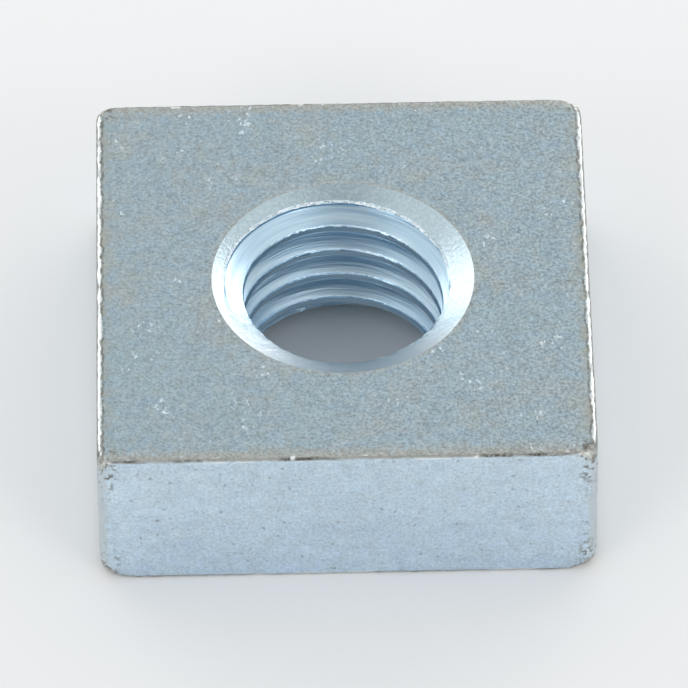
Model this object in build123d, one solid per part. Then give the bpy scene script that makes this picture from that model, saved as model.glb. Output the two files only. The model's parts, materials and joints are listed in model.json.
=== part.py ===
from build123d import *
from math import radians, sqrt, tan
import os

# Square nut with a metric coarse thread, sheared from flat bar.
# The origin is the centre of the underside. +X runs across the bar, +Y along it, +Z up the thread's axis.
# All sizes are in millimetres and all angles in degrees.

# Driving dimensions of the block
bar_width = 25.0
cut_length = 25.0
thickness = 8.6

# Driving dimensions of the thread and its countersinks
thread_diameter = 12.0
thread_pitch = 1.75
thread_depth_share = 5 / 8
countersink_diameter = 13.3
countersink_angle = 120.0

# Driving dimensions of the worn edges: along the bar, across it, upright, and where three edges meet
long_edge_radius = 0.3
cut_edge_radius = 0.15
upright_edge_radius = 0.4
corner_reach = 1.1
corner_radius = 3.2

# The thread is cut to this share of the height of its 60 degree triangle, which sets the drilled hole
thread_triangle = thread_pitch * sqrt(3) / 2
minor_radius = thread_diameter / 2 - thread_depth_share * thread_triangle

countersink_radius = countersink_diameter / 2
countersink_depth = (countersink_radius - minor_radius) / tan(radians(countersink_angle / 2))


def rounded_outline(plane, across, up, radius):
    """A rectangle with rounded corners on the given plane, which is one view of the block."""
    return plane * RectangleRounded(across, up, radius)


def make_block():
    """The piece of bar: what its plan, its end view and its side view have in common."""
    middle = Location((0, 0, thickness / 2))
    end_view = extrude(rounded_outline(Plane.XZ, bar_width, thickness, long_edge_radius), cut_length / 2, both=True)
    side_view = extrude(rounded_outline(Plane.YZ, cut_length, thickness, cut_edge_radius), bar_width / 2, both=True)
    plan = extrude(rounded_outline(Plane.XY, bar_width, cut_length, upright_edge_radius), thickness / 2, both=True)
    return middle * (end_view & side_view & plan)


def make_tumbled_envelope():
    """A larger block with large rounded edges, which meets the nut only at its eight corners."""
    centre_inset = (corner_reach + sqrt(3 * corner_radius**2 - 2 * corner_reach**2)) / 3
    standoff = corner_radius - centre_inset
    envelope = Box(bar_width + 2 * standoff, cut_length + 2 * standoff, thickness + 2 * standoff)
    envelope = fillet(envelope.edges(), corner_radius)
    return Location((0, 0, thickness / 2)) * envelope


def make_hole():
    """The drilled hole at the thread's minor diameter, with a countersink at each end, turned in one profile."""
    profile = Polyline(
        (0, 0),
        (countersink_radius, 0),
        (minor_radius, countersink_depth),
        (minor_radius, thickness - countersink_depth),
        (countersink_radius, thickness),
        (0, thickness),
        close=True,
    )
    return revolve(Plane.XZ * make_face(profile), Axis.Z)


square_nut = (make_block() & make_tumbled_envelope()) - make_hole()
print(f"minor radius {minor_radius:.3f} mm, countersink {countersink_depth:.3f} mm deep")
print(f"plain wall {thickness - 2 * countersink_depth:.3f} mm long, volume {square_nut.volume:.1f} mm3")

os.makedirs("parts", exist_ok=True)
export_step(square_nut, "parts/square_nut.step")
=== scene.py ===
# %% [markdown]
# # A square nut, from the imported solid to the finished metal
#
# This lesson dresses one part: a square steel nut, zinc plated, with a coarse metric thread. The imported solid
# fixes its size and place. Here the nut gets what the solid leaves out: the helical thread, the edges and
# corners as tumbling has worn them, and the finishes of its rolled, sheared, turned and tapped faces.

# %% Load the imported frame
import json
import math
import bpy
from mathutils import Matrix, Vector


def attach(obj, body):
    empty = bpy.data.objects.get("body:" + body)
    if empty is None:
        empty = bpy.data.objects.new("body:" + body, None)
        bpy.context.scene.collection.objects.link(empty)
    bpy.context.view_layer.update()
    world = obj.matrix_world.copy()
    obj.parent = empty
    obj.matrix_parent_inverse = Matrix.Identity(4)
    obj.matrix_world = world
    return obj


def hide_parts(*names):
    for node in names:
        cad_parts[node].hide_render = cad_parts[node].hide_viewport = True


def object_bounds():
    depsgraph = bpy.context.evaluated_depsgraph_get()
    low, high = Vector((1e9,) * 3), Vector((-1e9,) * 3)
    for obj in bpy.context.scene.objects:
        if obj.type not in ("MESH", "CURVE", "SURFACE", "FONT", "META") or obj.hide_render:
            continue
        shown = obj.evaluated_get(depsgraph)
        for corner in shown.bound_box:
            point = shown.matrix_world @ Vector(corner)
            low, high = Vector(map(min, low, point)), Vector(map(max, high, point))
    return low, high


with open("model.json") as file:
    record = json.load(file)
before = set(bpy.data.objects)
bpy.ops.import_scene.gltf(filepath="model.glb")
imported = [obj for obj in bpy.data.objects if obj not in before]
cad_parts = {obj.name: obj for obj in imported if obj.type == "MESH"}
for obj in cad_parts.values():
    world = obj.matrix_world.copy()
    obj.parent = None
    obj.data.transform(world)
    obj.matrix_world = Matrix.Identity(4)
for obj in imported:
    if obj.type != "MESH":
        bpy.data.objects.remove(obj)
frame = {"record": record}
cad_low, cad_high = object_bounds()
MM = 0.001
print(f"packed nut: {[round(x / MM, 3) for x in cad_high - cad_low]} mm")

# %% [markdown]
# ## Sizes
#
# The block's size is read from the frame, so it can't drift from the solid. The thread's radius is read from
# the record's mount in the same way. The rest are the sizes a maker would write on the drawing: the pitch,
# the countersink, and how far each kind of edge is worn.

# %% Name the sizes
half_width = (cad_high.x - cad_low.x) / 2
half_length = (cad_high.y - cad_low.y) / 2
thickness = cad_high.z - cad_low.z
thread_mount = next(m for m in frame["record"]["mounts"] if m["name"] == "thread")
minor_radius = thread_mount["dims"]["r_mm"] * MM
wall_length = thread_mount["dims"]["length_mm"] * MM

thread_pitch = 1.75 * MM
triangle_height = thread_pitch * math.sqrt(3) / 2
thread_depth_share = 5 / 8
major_radius = minor_radius + thread_depth_share * triangle_height
countersink_angle = math.radians(120)
countersink_slope = math.tan(countersink_angle / 2)
countersink_radius = minor_radius + (thickness - wall_length) / 2 * countersink_slope
crest_height = 6.90 * MM

long_edge_radius = 0.3 * MM
cut_edge_radius = 0.15 * MM
upright_edge_radius = 0.4 * MM
corner_reach = 1.1 * MM
corner_radius = 3.2 * MM

# How far the corners and upright edges are worn, and how that leans to the sides that each one lies on.
corner_lean = {"everywhere": 1.10, "right": 0.08, "top": -0.20, "back": -0.05, "top right": 0.06}
upright_lean = {"everywhere": 1.2, "right": 0.3, "back": 0.3}
print(f"thread {2 * major_radius / MM:.2f} x {thread_pitch / MM:.2f} mm")
print(f"countersink {2 * countersink_radius / MM:.2f} mm across")

# %% [markdown]
# ## Formulas as nodes
#
# A node tree is a formula drawn as boxes and wires. Written box by box it is hard to read, so this small
# class lets a socket take part in an ordinary sum. Each operation adds one Math node and gives back its
# output.


# %% A socket that can be added and multiplied
class Field:
    """One value in a node tree, of geometry or of a material, that can be used in a formula."""

    def __init__(self, tree, socket):
        self.tree = tree
        self.socket = socket

    def math(self, operation, *others):
        node = self.tree.nodes.new("ShaderNodeMath")
        node.operation = operation
        for entry, value in zip(node.inputs, (self, *others)):
            connect(self.tree, value, entry)
        return Field(self.tree, node.outputs[0])

    def __add__(self, other):
        return self.math("ADD", other)

    def __sub__(self, other):
        return self.math("SUBTRACT", other)

    def __rsub__(self, other):
        return (self - other).math("MULTIPLY", -1.0)

    def __mul__(self, other):
        return self.math("MULTIPLY", other)

    def __truediv__(self, other):
        return self.math("DIVIDE", other)

    def clamped(self, low, high):
        """The value, kept between two limits."""
        return self.math("MAXIMUM", low).math("MINIMUM", high)

    def ramp(self, start, end, low=0.0, high=1.0, shape="LINEAR"):
        """Goes from low to high while the value goes from start to end, and stays there beyond."""
        node = self.tree.nodes.new("ShaderNodeMapRange")
        node.interpolation_type = shape
        for entry, value in zip(node.inputs, (self, start, end, low, high)):
            connect(self.tree, value, entry)
        return Field(self.tree, node.outputs[0])


def connect(tree, value, entry):
    """Feeds a socket from a field, a socket or a plain number."""
    source = value.socket if isinstance(value, Field) else value
    if isinstance(source, bpy.types.NodeSocket):
        tree.links.new(source, entry)
    else:
        entry.default_value = source


def add_node(tree, kind, settings=None, **inputs):
    """Adds a node, sets its properties and feeds the inputs that are named."""
    node = tree.nodes.new(kind)
    for name, value in (settings or {}).items():
        setattr(node, name, value)
    for name, value in inputs.items():
        connect(tree, value, node.inputs[name.replace("_", " ")])
    return node


def split_xyz(tree, socket):
    node = add_node(tree, "ShaderNodeSeparateXYZ", Vector=socket)
    return [Field(tree, output) for output in node.outputs]


def join_xyz(tree, x, y, z):
    return add_node(tree, "ShaderNodeCombineXYZ", X=x, Y=y, Z=z).outputs[0]


def noise_field(tree, vector, scale, detail=2.0, roughness=0.5):
    """A noise between 0 and 1, mostly near a half."""
    sizes = {"Scale": scale, "Detail": detail, "Roughness": roughness}
    node = add_node(tree, "ShaderNodeTexNoise", Vector=vector, **sizes)
    return Field(tree, node.outputs["Fac"])


def scaled(tree, vector, factor):
    """A place or a colour times a number."""
    node = add_node(tree, "ShaderNodeVectorMath", {"operation": "SCALE"}, Vector=vector, Scale=factor)
    return node.outputs[0]


# %% [markdown]
# ## The nut as one bent grid
#
# A nut is a ring, so its skin can be one flat grid bent round: columns go round the thread's axis, and rows
# go up the hole, out over the top, down the side and back in underneath. One rule then places every point,
# the mesh is closed, and the thread's rows can follow the helix, which keeps its crests crisp. Cutting the
# thread with a Boolean would work too, but it can leave slivers where the cutter grazes the countersink.

# %% Inputs of the nut tree
rows_per_pitch = 22
face_rows = 14
side_rows = 20
columns_per_side = 124
all_columns = 4 * columns_per_side
weld_distance = 1e-6
first_angle = -math.pi / 4
crest_at_start = crest_height + thread_pitch * (first_angle - math.pi / 2) / (2 * math.pi)
lead_turns = math.ceil(crest_at_start / thread_pitch) + 1
wall_start = crest_at_start - lead_turns * thread_pitch
row_rise = thread_pitch / rows_per_pitch
wall_rows = math.ceil((thickness - wall_start) / row_rise)
all_rows = wall_rows + 2 * face_rows + side_rows

nut_sizes = {
    "Half width": half_width,
    "Half length": half_length,
    "Thickness": thickness,
    "Pitch": thread_pitch,
    "Minor radius": minor_radius,
    "Major radius": major_radius,
    "Countersink radius": countersink_radius,
    "Countersink slope": countersink_slope,
    "Crest rounding": 0.12 * MM,
    "Broken edge": 0.12 * MM,
    "Ragged depth": 0.08 * MM,
    "Ragged reach": 0.5 * MM,
    "Long edge radius": long_edge_radius,
    "Cut edge radius": cut_edge_radius,
    "Upright edge radius": upright_edge_radius,
    "Corner reach": corner_reach,
    "Corner radius": corner_radius,
    "Corner softness": 0.45 * MM,
    "Edge wear": 0.7,
}
print(f"{all_columns} columns by {all_rows} rows, {wall_rows} of them in the hole")


# %% [markdown]
# ## Columns and rows
#
# The columns start as equal steps along the four sides of the square. They are crowded towards its corners,
# where the shape turns, by blending equal steps with a cosine. The rows in the hole rise with the angle, one
# pitch for each turn, and those that would leave the block are held at its faces, where they close up.


# %% Place the columns and the rows
def crowd(share, both_ends):
    """Equal steps made closer near one or both ends by a cosine."""
    if both_ends:
        return (1.0 - (share * math.pi).math("COSINE")) * 0.5
    return 1.0 - (1.0 - share).math("POWER", 2.0)


def column_places(along, size):
    """The angle of each column, and where it meets the square outline."""
    quarter = along * 4.0
    side = quarter.math("FLOOR") * (math.pi / 2)
    share = quarter.math("FRACT")
    equal_part = 0.4
    across = (share * equal_part + crowd(share, True) * (1 - equal_part)) * 2.0 - 1.0
    cosine = side.math("COSINE")
    sine = side.math("SINE")
    outer_x = (cosine - sine * across) * size["Half width"]
    outer_y = (sine + cosine * across) * size["Half length"]
    angle = side + across.math("ARCTANGENT")
    return angle, outer_x, outer_y


def row_places(row, angle, size):
    """The height that each row would have in the hole, its height, and its share of the way out."""
    raw = row.math("MINIMUM", float(wall_rows)) * row_rise + wall_start
    raw = raw + (angle - first_angle) * (size["Pitch"] / (2 * math.pi))
    top_share = (row - wall_rows).math("DIVIDE", face_rows).clamped(0.0, 1.0)
    side_share = (row - (wall_rows + face_rows)).math("DIVIDE", side_rows).clamped(0.0, 1.0)
    under_share = (row - (wall_rows + face_rows + side_rows)).math("DIVIDE", face_rows).clamped(0.0, 1.0)
    outward = crowd(top_share, False) - under_share.math("POWER", 2.0)
    height = raw.math("MAXIMUM", 0.0).math("MINIMUM", size["Thickness"])
    height = height - crowd(side_share, True) * size["Thickness"]
    return raw, height, outward


# %% [markdown]
# ## The thread and its countersinks
#
# A metric thread is a 60 degree triangle with its crests cut to a flat of a quarter of the pitch and its
# roots to an eighth. Where a point lies within one pitch gives its radius. The countersinks are cones of 120
# degrees, and the drill, the tap and the countersink each remove metal, so the hole's radius is the largest
# of the three. A smooth maximum breaks the edge between cone and thread, and a noise makes that edge and
# the crests ragged, like the burr that a tap tears up.


# %% The radius of the hole
def hole_radius(tree, raw, height, angle, size):
    """The radius of the wall, how far the cone lies outside the thread there, and how ragged it is."""
    narrower_inside = 4.0
    narrower_at_crest = 1.8
    crest_strength = 0.42
    crest_begins = 0.1 * MM
    ragged_scale = 3600.0
    ragged_middle = 0.4

    turns = (raw - crest_height + thread_pitch / 4) / size["Pitch"] - angle / (2 * math.pi)
    from_root = (turns.math("FRACT") - 0.5).math("ABSOLUTE")
    half_root_flat = 1 / 16
    flank = size["Major radius"] - (from_root - half_root_flat) * (thread_pitch * math.sqrt(3))
    thread = flank.math("SMOOTH_MAX", size["Minor radius"], size["Crest rounding"])
    thread = thread.math("MINIMUM", size["Major radius"])
    upper = size["Countersink radius"] - (size["Thickness"] - height) * size["Countersink slope"]
    lower = size["Countersink radius"] - height * size["Countersink slope"]
    cone = upper.math("MAXIMUM", lower)
    wall = thread.math("SMOOTH_MAX", cone, size["Broken edge"])

    beside = cone - thread
    at_cone = 1.0 - beside.math("MAXIMUM", beside * -narrower_inside) / size["Ragged reach"]
    from_crest = (flank - size["Minor radius"]).math("ABSOLUTE") / size["Ragged reach"]
    at_crest = (1.0 - from_crest * narrower_at_crest) * crest_strength
    at_crest = at_crest * (thread - cone).ramp(0.0, crest_begins)
    # This mask is stored on the mesh, and the hole's material paints a near-white glint where it is high.
    ragged_and_glint = at_cone.math("MAXIMUM", at_crest).math("MAXIMUM", 0.0)
    place = join_xyz(tree, angle.math("COSINE") * wall, angle.math("SINE") * wall, height)
    noise = noise_field(tree, place, scale=ragged_scale, detail=3.0)
    wall = wall + ragged_and_glint * (noise - ragged_middle) * 2.0 * size["Ragged depth"]
    return wall, beside, ragged_and_glint


# %% [markdown]
# ## Worn edges and corners
#
# The bar's long edges were rolled round, the sheared ones are sharper, and tumbling in the plating barrel has
# knocked the eight corners back. Each edge is a circle's arc seen along it: a point outside the arc is drawn
# back to it. The corners are the same idea in three directions. A little noise in the radius makes the wear
# uneven, as it is on the real edges.


# %% Draw points back to a rounded edge
def draw_back(parts, half_sizes, radius, softness=None):
    """Pulls points that lie outside a rounded outline back to it. The outline has two or three directions."""
    inner = [half - radius for half in half_sizes]
    beyond = [(part.math("ABSOLUTE") - edge).math("MAXIMUM", 0.0) for part, edge in zip(parts, inner)]
    total = beyond[0] * beyond[0] + beyond[1] * beyond[1]
    for more in beyond[2:]:
        total = total + more * more
    never_zero = 1e-9
    reach = total.math("SQRT").math("MAXIMUM", never_zero)
    drawn = reach.math("SMOOTH_MIN", radius, softness) if softness else reach.math("MINIMUM", radius)
    scale = drawn / reach
    return [
        part.math("SIGN") * (part.math("ABSOLUTE").math("MINIMUM", edge) + extra * scale)
        for part, edge, extra in zip(parts, inner, beyond)
    ]


def wear_edges(tree, x, y, z, size):
    """Rounds the three kinds of edge, then the corners, and tells how far the corners were drawn back."""
    wear_scale = 2100.0
    corner_unevenness = 0.4

    noise = noise_field(tree, join_xyz(tree, x, y, z), scale=wear_scale, detail=3.0)
    uneven = (noise - 0.5) * 2.0 * size["Edge wear"] + 1.0
    middle = z - size["Thickness"] * 0.5
    half_height = size["Thickness"] * 0.5
    to_right, to_back, to_top = x.math("SIGN"), y.math("SIGN"), middle.math("SIGN")

    x, middle = draw_back([x, middle], [size["Half width"], half_height], size["Long edge radius"] * uneven)
    y, middle = draw_back([y, middle], [size["Half length"], half_height], size["Cut edge radius"] * uneven)
    lean = to_right * upright_lean["right"] + to_back * upright_lean["back"] + upright_lean["everywhere"]
    upright = size["Upright edge radius"] * uneven * lean
    x, y = draw_back([x, y], [size["Half width"], size["Half length"]], upright)

    lean = to_right * corner_lean["right"] + to_top * corner_lean["top"] + to_back * corner_lean["back"]
    lean = lean + to_top * to_right * corner_lean["top right"] + corner_lean["everywhere"]
    reach = size["Corner reach"] * ((uneven - 1.0) * corner_unevenness + 1.0) * lean
    ball = size["Corner radius"]
    inset = (reach + (ball * ball * 3.0 - reach * reach * 2.0).math("SQRT")) / 3.0
    standoff = ball - inset
    halves = [size["Half width"] + standoff, size["Half length"] + standoff, half_height + standoff]
    before = join_xyz(tree, x, y, middle)
    x, y, middle = draw_back([x, y, middle], halves, ball, size["Corner softness"])
    after = join_xyz(tree, x, y, middle)
    moved = add_node(tree, "ShaderNodeVectorMath", {"operation": "DISTANCE"})
    tree.links.new(before, moved.inputs[0])
    tree.links.new(after, moved.inputs[1])
    z = (middle + half_height).clamped(0.0, size["Thickness"])
    return x, y, z, Field(tree, moved.outputs["Value"])


# %% [markdown]
# ## Build the tree
#
# The tree lays out a grid, moves each point by the rules above, welds the grid's ends to each other, and
# names the material of each kind of face. The sizes come in as named inputs. The number of rows and their
# rise follow from the sizes above.


# %% The nut's geometry tree
def make_nut_tree(materials):
    tree = bpy.data.node_groups.new("square_nut_skin", "GeometryNodeTree")
    tree.is_modifier = True
    for name, value in nut_sizes.items():
        entry = tree.interface.new_socket(name, in_out="INPUT", socket_type="NodeSocketFloat")
        entry.default_value = value
    tree.interface.new_socket("Geometry", in_out="OUTPUT", socket_type="NodeSocketGeometry")
    given = tree.nodes.new("NodeGroupInput")
    size = {name: Field(tree, given.outputs[name]) for name in nut_sizes}

    grid = add_node(tree, "GeometryNodeMeshGrid", Size_X=1.0, Size_Y=1.0)
    grid.inputs["Vertices X"].default_value = all_columns + 1
    grid.inputs["Vertices Y"].default_value = all_rows + 1
    flat_x, flat_y, _ = split_xyz(tree, tree.nodes.new("GeometryNodeInputPosition").outputs[0])
    along = flat_x + 0.5
    row = (flat_y + 0.5) * float(all_rows)
    angle, outer_x, outer_y = column_places(along, size)
    raw, height, outward = row_places(row, angle, size)
    radius, turned, ragged_and_glint = hole_radius(tree, raw, height, angle, size)
    inner_x = angle.math("COSINE") * radius
    inner_y = angle.math("SINE") * radius
    x = inner_x + (outer_x - inner_x) * outward
    y = inner_y + (outer_y - inner_y) * outward
    x, y, z, cornered = wear_edges(tree, x, y, height, size)

    marked = grid.outputs["Mesh"]
    stored = {"turned": turned * (1 / MM), "ragged_and_glint": ragged_and_glint, "cornered": cornered * (1 / MM)}
    for name, value in stored.items():
        store = add_node(tree, "GeometryNodeStoreNamedAttribute", Geometry=marked, Name=name)
        connect(tree, value, store.inputs["Value"])
        marked = store.outputs[0]
    placed = add_node(tree, "GeometryNodeSetPosition", Geometry=marked, Position=join_xyz(tree, x, y, z))
    welded = add_node(tree, "GeometryNodeMergeByDistance", Geometry=placed.outputs[0], Distance=weld_distance)
    real = add_node(tree, "GeometryNodeRealizeInstances", Geometry=welded.outputs[0])
    painted = paint_faces(tree, real.outputs[0], materials, size)
    result = tree.nodes.new("NodeGroupOutput")
    tree.links.new(painted, result.inputs["Geometry"])
    return tree


def paint_faces(tree, geometry, materials, size):
    """Gives each kind of face its material, by where it is and which way it faces."""
    place = split_xyz(tree, tree.nodes.new("GeometryNodeInputPosition").outputs[0])
    facing = split_xyz(tree, tree.nodes.new("GeometryNodeInputNormal").outputs[0])
    from_axis = (place[0] * place[0] + place[1] * place[1]).math("SQRT")
    half_turned = 0.7
    chosen = {
        "rolled_face": None,
        "sheared_face": facing[1].math("ABSOLUTE").math("GREATER_THAN", half_turned),
        "tapped_hole": from_axis.math("LESS_THAN", size["Countersink radius"]),
    }
    for name, selection in chosen.items():
        node = add_node(tree, "GeometryNodeSetMaterial", Geometry=geometry, Material=materials[name])
        if selection is not None:
            connect(tree, selection, node.inputs["Selection"])
        geometry = node.outputs[0]
    return geometry


# %% [markdown]
# ## Finishes
#
# The nut is plated with zinc and dipped in a clear passivate, which gives a cool blue-grey metal. What
# differs from face to face is the surface under the plating. It is matt and grainy where the bar was rolled,
# smoother with fine lines and small dark pits where it was sheared, and freshly cut in the hole.


# %% Name the colours, as linear shares of red, green and blue
colors = {
    "rolled cool": (0.328, 0.425, 0.488),
    "rolled grey": (0.352, 0.427, 0.453),
    "rolled cloud": (0.334, 0.429, 0.463),
    "rolled stain": (0.402, 0.408, 0.378),
    "bar side": (0.60, 0.70, 0.76),
    "nick": (0.74, 0.83, 0.88),
    "sheared blue": (0.600, 0.735, 0.845),
    # Painted shade: the darker, more violet metal towards the lower edge.
    "sheared violet shade": (0.580, 0.705, 0.835),
    "sheared pale": (0.605, 0.715, 0.775),
    "scratch": (0.36, 0.42, 0.50),
    "pit": (0.19, 0.215, 0.240),
    "thread dark": (0.44, 0.635, 0.790),
    "thread light": (0.61, 0.785, 0.900),
    "cone dark": (0.45, 0.580, 0.645),
    "cone light": (0.57, 0.690, 0.745),
    # Painted reflection: the paler front of the countersink.
    "cone front painted reflection": (0.86, 0.91, 0.92),
    # Painted glint: near white for the torn burr and, faintly, the crests.
    "burr_and_glint": (0.90, 0.96, 1.0),
    "long edge stain": (0.37, 0.375, 0.325),
    # A dark line beside the polished round of the long edges.
    "long edge dark line": (0.16, 0.155, 0.13),
    "long edge polish": (0.62, 0.67, 0.68),
    "long edge outside": (0.27, 0.275, 0.26),
    "cut edge stain": (0.40, 0.40, 0.37),
    "cut edge grime": (0.11, 0.105, 0.09),
    "cut edge shine": (0.86, 0.89, 0.90),
    "upright edge": (0.58, 0.65, 0.69),
    "upright edge grime": (0.17, 0.165, 0.145),
    "knocked corner": (0.49, 0.50, 0.47),
    "corner pit": (0.15, 0.145, 0.125),
}
print(f"{len(colors)} colours")

# %% [markdown]
# ## Helpers for the materials
#
# Each material starts from the same metal, with its pattern in millimetres, and ends in the same three
# inputs: a colour, a roughness and a relief. The helpers keep the finishes below short.


# %% Helpers for the materials
def start_material(name):
    """A metal with its pattern in millimetres of the nut's own space."""
    material = bpy.data.materials.new(name)
    material.use_nodes = True
    tree = material.node_tree
    shader = tree.nodes["Principled BSDF"]
    shader.inputs["Metallic"].default_value = 1.0
    coordinates = tree.nodes.new("ShaderNodeTexCoord")
    return material, tree, shader, scaled(tree, coordinates.outputs["Object"], 1 / MM)


def stretched(tree, vector, x, y, z):
    """The same place with each direction scaled, which draws a pattern out along the others."""
    node = add_node(tree, "ShaderNodeVectorMath", {"operation": "MULTIPLY"}, Vector=vector)
    node.inputs[1].default_value = (x, y, z)
    return node.outputs[0]


def mix_colors(tree, factor, first, second):
    """A blend of two colours, each a colour or a socket."""
    node = tree.nodes.new("ShaderNodeMix")
    node.data_type = "RGBA"
    connect(tree, factor, node.inputs["Factor"])
    # In this form the colour sockets are inputs 6 and 7 and output 2.
    for entry, color in zip((node.inputs[6], node.inputs[7]), (first, second)):
        connect(tree, color if isinstance(color, bpy.types.NodeSocket) else (*color, 1.0), entry)
    return node.outputs[2]


def finish_metal(tree, shader, color, roughness, height, depth):
    """Feeds the shader: the colour, the roughness and a relief whose depth is in millimetres."""
    connect(tree, color, shader.inputs["Base Color"])
    connect(tree, roughness, shader.inputs["Roughness"])
    bump = add_node(tree, "ShaderNodeBump", Height=height, Distance=depth * MM, Strength=1.0)
    tree.links.new(bump.outputs[0], shader.inputs["Normal"])


# %% [markdown]
# ## Wear at the edges
#
# Handling and tumbling leave their marks where faces meet. The long rolled edges are polished bright, with a
# dark line beside them. The sheared edges hold grime in their burr, with a few bright nicks. The upright
# edges and the corners are bare and speckled. How near a point is to each kind of edge follows from its
# place, so all faces can share one rule and the wear runs on round the edge from face to face.


# %% How near each kind of edge is
def edge_distances(tree, place):
    """Millimetres from the long, the cut and the upright edges, and from the nearest broad face."""
    x, y, z = split_xyz(tree, place)
    half_height = thickness / MM / 2
    from_side = half_width / MM - x.math("ABSOLUTE")
    from_end = half_length / MM - y.math("ABSOLUTE")
    from_face = half_height - (z - half_height).math("ABSOLUTE")
    long_edge = from_side.math("MAXIMUM", from_face)
    cut_edge = from_end.math("MAXIMUM", from_face)
    upright_edge = from_side.math("MAXIMUM", from_end)
    return long_edge, cut_edge, upright_edge, from_face


def stored_field(tree, name):
    """A value that the geometry tree has stored on the mesh."""
    node = add_node(tree, "ShaderNodeAttribute", {"attribute_name": name})
    return Field(tree, node.outputs["Fac"])


def wear_long_edges(tree, place, color, roughness):
    """Polished metal on the round of the long edges, between a dark line and a line of grime."""
    long_edge, _, _, from_face = edge_distances(tree, place)
    wander = noise_field(tree, place, scale=1.8, detail=3.0, roughness=0.6)
    speck = noise_field(tree, place, scale=3.2, detail=3.0, roughness=0.6)
    edge = long_edge + (wander - 0.5) * 0.45
    stained = edge.ramp(0.95, 0.40) * wander.ramp(0.42, 0.62) * 0.75
    color = mix_colors(tree, stained, color, colors["long edge stain"])
    # A dark line beside the polished round, broken by specks.
    line = (edge - 0.31).math("ABSOLUTE").ramp(0.10, 0.02) * speck.ramp(0.36, 0.56, 0.15, 0.85)
    color = mix_colors(tree, line, color, colors["long edge dark line"])
    polished = edge.ramp(0.26, 0.20)
    color = mix_colors(tree, polished, color, colors["long edge polish"])
    outer = polished * from_face.ramp(0.07, 0.12) * speck.ramp(0.30, 0.50, 0.5, 1.0)
    color = mix_colors(tree, outer, color, colors["long edge outside"])
    return color, roughness + (0.24 - roughness) * polished


def wear_cut_edges(tree, place, color, roughness):
    """A broken line of grime in the burr of the sheared edges, with bright pieces and a few nicks."""
    _, cut_edge, _, from_face = edge_distances(tree, place)
    speck = noise_field(tree, place, scale=3.2, detail=3.0, roughness=0.6)
    pieces = noise_field(tree, stretched(tree, place, 0.5, 1.0, 1.0), scale=1.0, detail=2.0)
    on_edge = (cut_edge + (speck - 0.5) * 0.15).ramp(0.17, 0.09)
    color = mix_colors(tree, on_edge * 0.6, color, colors["cut edge stain"])
    broken = on_edge * pieces.ramp(0.44, 0.56) * speck.ramp(0.36, 0.54)
    color = mix_colors(tree, broken, color, colors["cut edge grime"])
    shine = cut_edge.ramp(0.21, 0.17) * from_face.ramp(0.10, 0.14) * pieces.ramp(0.44, 0.38)
    nick = cut_edge.ramp(0.26, 0.18) * noise_field(tree, place, scale=1.2, detail=1.0).ramp(0.68, 0.72)
    bright = (shine * 0.8).math("MAXIMUM", nick)
    color = mix_colors(tree, bright, color, colors["cut edge shine"])
    return color, roughness + (0.25 - roughness) * bright


def wear_upright_edges(tree, place, color, roughness):
    """Paler metal on the upright edges and knocked corners, with grime where it ends."""
    _, _, upright_edge, from_face = edge_distances(tree, place)
    wander = noise_field(tree, place, scale=1.6, detail=3.0, roughness=0.6)
    speck = noise_field(tree, place, scale=3.8, detail=2.0, roughness=0.6)
    edge = upright_edge + (wander - 0.5) * 0.6
    color = mix_colors(tree, edge.ramp(0.50, 0.30), color, colors["upright edge"])
    beside_edge = (edge - 0.55).math("ABSOLUTE").ramp(0.60, 0.15)
    border = beside_edge * speck.ramp(0.535, 0.60) * from_face.ramp(3.0, 1.2, 0.15, 1.0)
    color = mix_colors(tree, border * 0.85, color, colors["upright edge grime"])
    cornered = stored_field(tree, "cornered") + (wander - 0.5) * 0.10
    knocked = cornered.ramp(0.07, 0.12)
    color = mix_colors(tree, knocked * 0.8, color, colors["knocked corner"])
    rim = (cornered - 0.08).math("ABSOLUTE").ramp(0.03, 0.005)
    pits = (knocked * 0.6).math("MAXIMUM", rim) * speck.ramp(0.48, 0.57)
    color = mix_colors(tree, pits * 0.85, color, colors["corner pit"])
    return color, roughness + (0.34 - roughness) * knocked


def wear_colors(tree, place, color, roughness):
    """Lays the wear of all edges over a face's colour and roughness."""
    color, roughness = wear_long_edges(tree, place, color, roughness)
    color, roughness = wear_cut_edges(tree, place, color, roughness)
    return wear_upright_edges(tree, place, color, roughness)


# %% [markdown]
# ## The rolled faces
#
# Hot rolling leaves a fine grain, which the thin plating follows. It scatters the light, and the few grains
# that happen to face a lamp sparkle. Here a fine relief does the same, over a cool colour that drifts to a
# brownish one in places, along the sheared edges and round the hole. The bar's two sides are rolled too,
# and paler.


# %% The rolled finish
def scattered_nicks(tree, place):
    """Small bright strokes in loose clusters."""
    strokes = noise_field(tree, stretched(tree, place, 1.0, 0.7, 1.0), scale=4.6, detail=1.0).ramp(0.64, 0.70)
    return strokes * noise_field(tree, place, scale=0.50, detail=2.0).ramp(0.58, 0.66)


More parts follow.
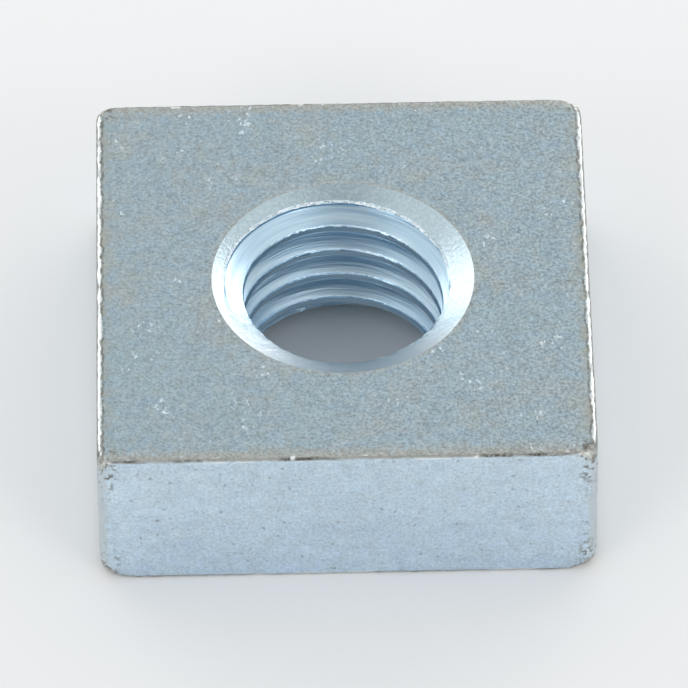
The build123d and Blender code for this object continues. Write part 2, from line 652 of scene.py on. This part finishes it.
def make_rolled_face():
    material, tree, shader, place = start_material("zinc_rolled_face")
    drift = noise_field(tree, place, scale=0.30, detail=3.0, roughness=0.6)
    tint = noise_field(tree, place, scale=1.5, detail=2.0, roughness=0.45)
    mottle = noise_field(tree, place, scale=2.6, detail=3.0, roughness=0.7)
    grain = noise_field(tree, place, scale=6.6, detail=3.0, roughness=0.7)
    x, y, _ = split_xyz(tree, place)
    rim = (x * x + y * y).math("SQRT") - countersink_radius / MM
    _, cut_edge, _, from_face = edge_distances(tree, place)
    stained = (cut_edge + (mottle - 0.5) * 1.4).ramp(0.85, 0.35) * 0.8
    stained = stained.math("MAXIMUM", (rim + (mottle - 0.5) * 0.5).ramp(0.30, 0.05) * 0.5)
    stained = stained.math("MAXIMUM", drift.ramp(0.52, 0.72) * 0.45)
    cool = mix_colors(tree, tint.ramp(0.35, 0.65), colors["rolled cool"], colors["rolled grey"])
    color = mix_colors(tree, drift.ramp(0.48, 0.30) * 0.5, cool, colors["rolled cloud"])
    color = mix_colors(tree, stained, color, colors["rolled stain"])
    color = mix_colors(tree, from_face.ramp(0.2, 0.6), color, colors["bar side"])
    harsh = x.ramp(-half_width / MM, half_width / MM, 0.8, 1.15)
    shade = (mottle - 0.5) * 0.55 + (grain - 0.5) * harsh * 1.6
    color = scaled(tree, color, (shade + 1.0).clamped(0.45, 2.0))
    color = mix_colors(tree, scattered_nicks(tree, place) * 0.8, color, colors["nick"])
    roughness = mottle.ramp(0.3, 0.7, 0.42, 0.54)
    color, roughness = wear_colors(tree, place, color, roughness)
    finish_metal(tree, shader, color, roughness, grain + mottle * 0.5, depth=0.018)
    return material


# %% [markdown]
# ## The sheared faces
#
# The shear tears the bar off in one stroke. It leaves a smooth face with faint lines along the cut and small
# pits, where the plating looks dark. The metal is at its bluest here. Towards the lower edge it is painted a
# little darker and more violet: painted shade, as the face mirrors the floor in the nut's shadow.


# %% The sheared finish
def make_sheared_face():
    material, tree, shader, place = start_material("zinc_sheared_face")
    z = split_xyz(tree, place)[2]
    cloud_height, low_part = 5.0, 0.6
    drag = noise_field(tree, stretched(tree, place, 0.30, 0.30, 4.0), scale=1.0, detail=3.0)
    cloud = noise_field(tree, stretched(tree, place, 0.35, 0.35, 0.8), scale=1.0, detail=2.0)
    tint = noise_field(tree, place, scale=1.1, detail=3.0, roughness=0.5)
    fine = noise_field(tree, place, scale=6.0, detail=3.0, roughness=0.75)
    blotch = noise_field(tree, place, scale=1.8, detail=3.0, roughness=0.65)
    # Painted shade: a little darker and more violet towards the lower edge, where the face mirrors the shaded
    # floor.
    low = (z + (cloud - 0.5) * cloud_height).ramp(thickness / MM * low_part, 0.0)
    clean = mix_colors(tree, low, colors["sheared blue"], colors["sheared violet shade"])
    clean = mix_colors(tree, tint.ramp(0.38, 0.66, 0.0, 0.6), clean, colors["sheared pale"])
    shade = (blotch - 0.5) * 0.40 + (fine - 0.5) * 1.05 + (cloud - 0.5) * 0.15
    clean = scaled(tree, clean, (shade + 1.0).clamped(0.5, 1.5))
    upright_lines = stretched(tree, place, 1.6, 1.0, 0.35)
    scratches = noise_field(tree, upright_lines, scale=1.4, detail=2.0, roughness=0.6)
    scratches = (scratches - 0.5).math("ABSOLUTE").ramp(0.012, 0.0) * cloud.ramp(0.48, 0.60)
    clean = mix_colors(tree, scratches * 0.25, clean, colors["scratch"])
    pits = noise_field(tree, place, scale=3.2, detail=1.0, roughness=0.5).ramp(0.655, 0.75)
    pits = pits * fine.ramp(0.35, 0.60, 0.3, 1.0)
    color = mix_colors(tree, pits * 0.75, clean, colors["pit"])
    color, roughness = wear_colors(tree, place, color, pits * 0.2 + 0.28)
    finish_metal(tree, shader, color, roughness, drag * 0.6 + fine * 0.5 - pits, depth=0.010)
    return material


# %% [markdown]
# ## The turned and tapped hole
#
# The turned countersink is finely mottled, as a cutter that chatters leaves it. The thread has streaks that
# run along the helix, like those of a tap. Which of the two a point belongs to is stored on the mesh, as
# the distance between the cone and the thread there. So is how ragged the edge is, which places a painted
# glint: the torn burr at the back of the ring, and faintly the crests, are painted near white. The front of
# the ring is given a paler colour, a painted reflection, because the panels below leave it too dark.


# %% The hole's finish
def make_tapped_hole():
    material, tree, shader, place = start_material("zinc_tapped_hole")
    turned = stored_field(tree, "turned").ramp(-0.01, 0.01)
    x, y, z = split_xyz(tree, place)
    from_axis = (x * x + y * y).math("SQRT")
    angle = y.math("ARCTAN2", x)
    along_helix = z - angle * (thread_pitch / MM / (2 * math.pi))
    across, along = 5.0, 1.2
    streak_place = join_xyz(tree, from_axis * across, along_helix * across, angle * along)
    streaks = noise_field(tree, streak_place, scale=1.0, detail=3.0, roughness=0.6)
    ripples = noise_field(tree, place, scale=5.5, detail=4.0, roughness=0.75)
    burr_and_glint = noise_field(tree, place, scale=7.0, detail=2.0, roughness=0.7)
    # Painted glint: the burr, and faintly the crests, are painted near white towards the back of the ring,
    # where the front panels would catch them.
    behind = y.ramp(0.5, 2.5, 0.1, 1.0)
    ragged_and_glint = stored_field(tree, "ragged_and_glint").ramp(0.30, 0.60) * burr_and_glint.ramp(0.40, 0.50) * behind
    thread_color = mix_colors(tree, streaks.ramp(0.35, 0.65), colors["thread dark"], colors["thread light"])
    cone_color = mix_colors(tree, ripples.ramp(0.35, 0.65), colors["cone dark"], colors["cone light"])
    # Painted reflection: the front of the ring is painted paler, because the panels leave it too dark.
    painted_front_reflection = y.ramp(-3.0, -5.0) * ripples.ramp(0.30, 0.60, 0.7, 1.0)
    cone_color = mix_colors(tree, painted_front_reflection, cone_color, colors["cone front painted reflection"])
    color = mix_colors(tree, turned, thread_color, cone_color)
    color = mix_colors(tree, ragged_and_glint, color, colors["burr_and_glint"])
    roughness = turned * -0.10 + 0.32 + ragged_and_glint * 0.45
    height = streaks * 0.9 + (ripples * 0.85 - streaks * 0.9) * turned + burr_and_glint * ragged_and_glint * 2.0
    finish_metal(tree, shader, color, roughness, height, depth=0.03)
    return material


materials = {
    "rolled_face": make_rolled_face(),
    "sheared_face": make_sheared_face(),
    "tapped_hole": make_tapped_hole(),
}
print(f"finishes: {', '.join(materials)}")

# %% [markdown]
# ## Make the mesh
#
# The tree runs as a modifier on an empty mesh. Its result is copied out as a plain mesh, and the carrier is
# thrown away, so nothing live is left on the piece. Faces that meet at less than a set angle share a smooth
# normal, which keeps the ring of the countersink crisp and the worn edges round.


# %% Run the tree and keep its mesh
def run_tree(tree, name, values):
    """The plain mesh that a tree makes, with each named size set by its socket's identifier."""
    carrier = bpy.data.objects.new(name + "_carrier", bpy.data.meshes.new(name + "_carrier"))
    bpy.context.scene.collection.objects.link(carrier)
    modifier = carrier.modifiers.new("tree", "NODES")
    modifier.node_group = tree
    for item in tree.interface.items_tree:
        if item.in_out == "INPUT":
            modifier[item.identifier] = values[item.name]
    bpy.context.view_layer.update()
    evaluated = carrier.evaluated_get(bpy.context.evaluated_depsgraph_get())
    mesh = bpy.data.meshes.new_from_object(evaluated)
    bpy.data.objects.remove(carrier)
    mesh.name = name
    return mesh


sharp_angle = math.radians(22)
nut_mesh = run_tree(make_nut_tree(materials), "zinc_plated_nut", nut_sizes)
nut_mesh.shade_smooth()
nut_mesh.set_sharp_from_angle(angle=sharp_angle)
nut = bpy.data.objects.new("zinc_plated_nut", nut_mesh)
bpy.context.scene.collection.objects.link(nut)
triangles = sum(len(face.vertices) - 2 for face in nut_mesh.polygons)
print(f"nut: {len(nut_mesh.vertices)} points, {triangles} triangles")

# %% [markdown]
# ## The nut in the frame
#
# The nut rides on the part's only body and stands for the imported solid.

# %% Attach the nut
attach(nut, "root")
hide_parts("square_nut")

# %% [markdown]
# ## Floor and light
#
# Metal shows what is round it, so the light is chosen for its reflections. Two wide panels stand low behind
# the nut, to the left and the right: the countersink and the rounded long edges pick them up as white. Two
# taller ones stand in front. The sky is brighter overhead, with one darker round patch high in front, which
# the top face mirrors, and a pale floor lights the front.

# %% Make the floor and the lights
floor_size = 1.2
paper_color = (0.825, 0.835, 0.84, 1)
paper_roughness = 0.9
panel_distance = 0.9

# Azimuth and elevation in degrees, width and height in metres, power in watts.
panels = {
    "back_right": (56, 13.5, 0.88, 0.40, 2.5),
    "back_left": (129, 19, 0.68, 0.46, 1.6),
    "front_right": (-48, 27, 0.36, 0.55, 1.35),
    "front_left": (-132, 27, 0.36, 0.55, 1.35),
}


def make_floor():
    mesh = bpy.data.meshes.new("floor")
    half = floor_size / 2
    corners = [(-half, -half, 0), (half, -half, 0), (half, half, 0), (-half, half, 0)]
    mesh.from_pydata(corners, [], [(0, 1, 2, 3)])
    floor = bpy.data.objects.new("floor", mesh)
    bpy.context.scene.collection.objects.link(floor)
    material = bpy.data.materials.new("pale_paper")
    material.use_nodes = True
    shader = material.node_tree.nodes["Principled BSDF"]
    shader.inputs["Base Color"].default_value = paper_color
    shader.inputs["Roughness"].default_value = paper_roughness
    mesh.materials.append(material)


def make_panel(name, azimuth, elevation, width, height, power):
    """A soft panel that faces the nut. Azimuth is counted from +X towards +Y."""
    data = bpy.data.lights.new(name, "AREA")
    data.shape = "RECTANGLE"
    data.size = width
    data.size_y = height
    data.energy = power
    lamp = bpy.data.objects.new(name, data)
    direction = Vector((
        math.cos(azimuth) * math.cos(elevation),
        math.sin(azimuth) * math.cos(elevation),
        math.sin(elevation),
    ))
    lamp.location = direction * panel_distance
    lamp.rotation_euler = direction.to_track_quat("Z", "Y").to_euler()
    bpy.context.scene.collection.objects.link(lamp)


make_floor()
for name, (azimuth, elevation, width, height, power) in panels.items():
    make_panel(name, math.radians(azimuth), math.radians(elevation), width, height, power)
print(f"panels: {', '.join(panels)}")


def make_sky(horizon, zenith, shade, direction, inner, outer):
    """A sky that is brighter overhead, with one darker round patch in the given direction."""
    world = bpy.data.worlds.new("sky")
    bpy.context.scene.world = world
    world.use_nodes = True
    tree = world.node_tree
    view = tree.nodes.new("ShaderNodeTexCoord").outputs["Generated"]
    height = split_xyz(tree, view)[2]
    along = add_node(tree, "ShaderNodeVectorMath", {"operation": "DOT_PRODUCT"}, Vector=view)
    along.inputs[1].default_value = direction
    facing = Field(tree, along.outputs["Value"])
    patch = facing.ramp(math.cos(outer), math.cos(inner), 1.0, shade, "SMOOTHSTEP")
    background = tree.nodes["Background"]
    connect(tree, height.ramp(0.0, 1.0, horizon, zenith) * patch, background.inputs["Strength"])
    background.inputs["Color"].default_value = (1, 1, 1, 1)


patch_elevation = math.radians(64)
patch_direction = (0, -math.cos(patch_elevation), math.sin(patch_elevation))
make_sky(
    horizon=0.70, zenith=0.98, shade=0.46,
    direction=patch_direction, inner=math.radians(8), outer=math.radians(31),
)

# %% [markdown]
# ## Camera
#
# The camera looks down at the nut from the front with a very long lens. Its direction, distance and aim were
# worked out from the nut's edges in the photograph, in units of the nut's own width.

# %% Place the camera
view_elevation = math.radians(46.58)
view_azimuth = math.radians(-0.67)
view_roll = math.radians(-0.58)
view_distance = 19.39
aim_right = -0.0002
aim_up = 0.1009
image_side = 688
nut_width_in_image = 487.2


def make_camera():
    forward = Vector((
        -math.sin(view_azimuth) * math.cos(view_elevation),
        math.cos(view_azimuth) * math.cos(view_elevation),
        -math.sin(view_elevation),
    ))
    level_right = forward.cross(Vector((0, 0, 1))).normalized()
    level_up = level_right.cross(forward)
    right = level_right * math.cos(view_roll) + level_up * math.sin(view_roll)
    up = level_up * math.cos(view_roll) - level_right * math.sin(view_roll)
    data = bpy.data.cameras.new("camera")
    data.lens = nut_width_in_image * view_distance / image_side * data.sensor_width
    data.clip_start = 0.01
    data.clip_end = 10
    camera = bpy.data.objects.new("camera", data)
    unit = 2 * half_width
    place = (right * aim_right + up * aim_up - forward * view_distance) * unit
    turn = Matrix((right, up, -forward)).transposed().to_4x4()
    camera.matrix_world = Matrix.Translation(place) @ turn
    bpy.context.scene.collection.objects.link(camera)
    bpy.context.scene.camera = camera
    return camera


camera = make_camera()
print(f"lens {camera.data.lens:.0f} mm")

# %% [markdown]
# ## The picture's transform
#
# The picture is shown as it is lit, with the plain transform. The finished nut has to stay inside the imported
# one.

# %% Set the plain transform
bpy.context.scene.view_settings.view_transform = "Standard"
